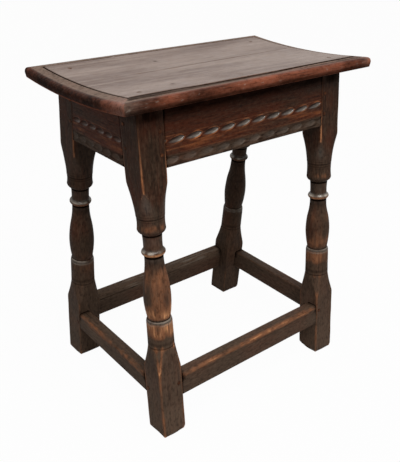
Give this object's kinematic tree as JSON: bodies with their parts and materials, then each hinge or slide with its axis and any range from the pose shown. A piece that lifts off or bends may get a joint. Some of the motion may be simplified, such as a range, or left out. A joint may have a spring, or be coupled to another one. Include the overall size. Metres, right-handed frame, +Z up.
{
  "type": "joint stool",
  "caption": "Rectangular stool with turned, splayed legs, pegged mortise-and-tenon rails and stretchers, and a cupped plank seat with moulded edges.",
  "frame": {"origin": "on the floor, midway between the four feet, which is the bottom centre of the bounding box", "axes": "+Z up, +X along the seat towards the end that has split, +Y across the seat from the front rail towards the back rail"},
  "size_m": [0.474, 0.313, 0.546],
  "materials": {
    "seat_oak": "old waxed oak, worn satin, grey-brown",
    "frame_oak": "dark waxed oak, worn to orange-brown on the arrises",
    "peg_oak": "dark waxed oak end grain"
  },
  "bodies": {
    "root": {"seat_board": "seat_oak", "leg_front_left": "frame_oak", "leg_front_right": "frame_oak", "leg_back_left": "frame_oak", "leg_back_right": "frame_oak", "rail_front": "frame_oak", "rail_back": "frame_oak", "rail_left": "frame_oak", "rail_right": "frame_oak", "stretcher_front": "frame_oak", "stretcher_back": "frame_oak", "stretcher_left": "frame_oak", "stretcher_right": "frame_oak", "pegs_rail_front": "peg_oak", "pegs_rail_back": "peg_oak", "pegs_rail_left": "peg_oak", "pegs_rail_right": "peg_oak", "pegs_stretcher_front": "peg_oak", "pegs_stretcher_back": "peg_oak", "pegs_stretcher_left": "peg_oak", "pegs_stretcher_right": "peg_oak", "pegs_seat": "peg_oak"}
  },
  "joints": []
}
